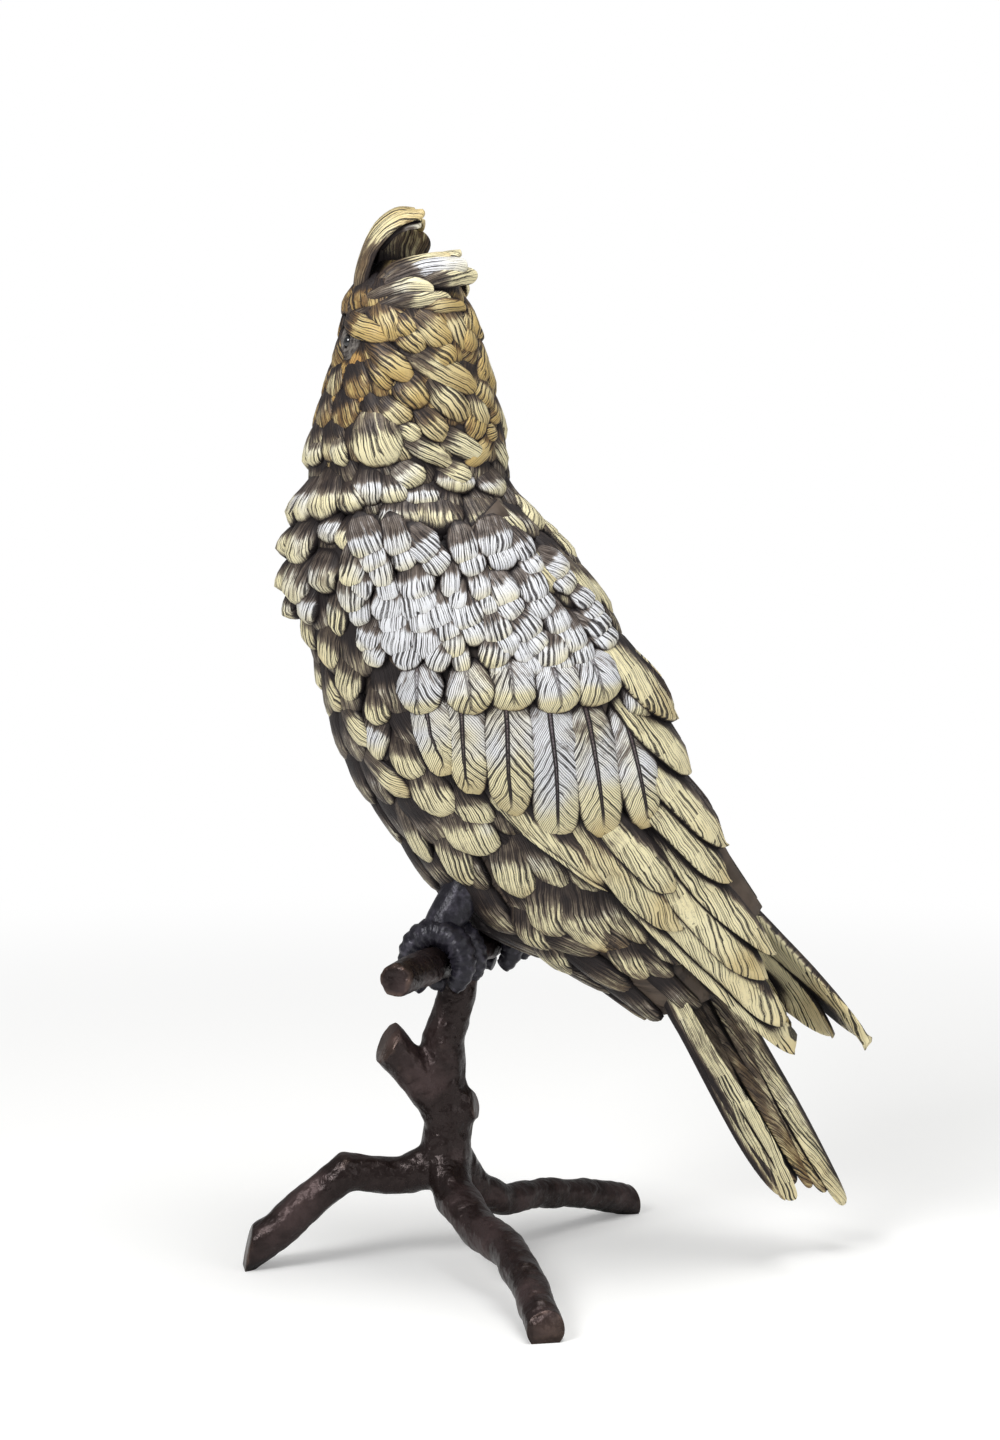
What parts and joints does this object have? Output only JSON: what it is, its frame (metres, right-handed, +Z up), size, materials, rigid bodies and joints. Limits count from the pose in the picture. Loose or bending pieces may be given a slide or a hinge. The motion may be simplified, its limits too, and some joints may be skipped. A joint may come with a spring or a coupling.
{
  "type": "parrot figurine",
  "caption": "Cold-painted bronze cockatoo with folded wings and turned head, gripping a three-legged bronze branch stand.",
  "frame": {"origin": "on the table top, under the middle of the object's bounding box", "axes": "+Z up; -X is the way the bird's chest faces; -Y is the bird's left side, which the picture shows"},
  "size_m": [0.1854, 0.1446, 0.3066],
  "materials": {
    "painted_bird": "cold-painted bronze, chalky cream with ochre head and dark recesses, semi-matte",
    "bronze_branch": "dark brown patinated bronze, satin, with worn lighter edges",
    "glass_eye": "black glass bead, opaque and glossy"
  },
  "bodies": {
    "root": {"cockatoo": "painted_bird", "branch_stand": "bronze_branch", "eye_left": "glass_eye", "eye_right": "glass_eye"}
  },
  "joints": []
}
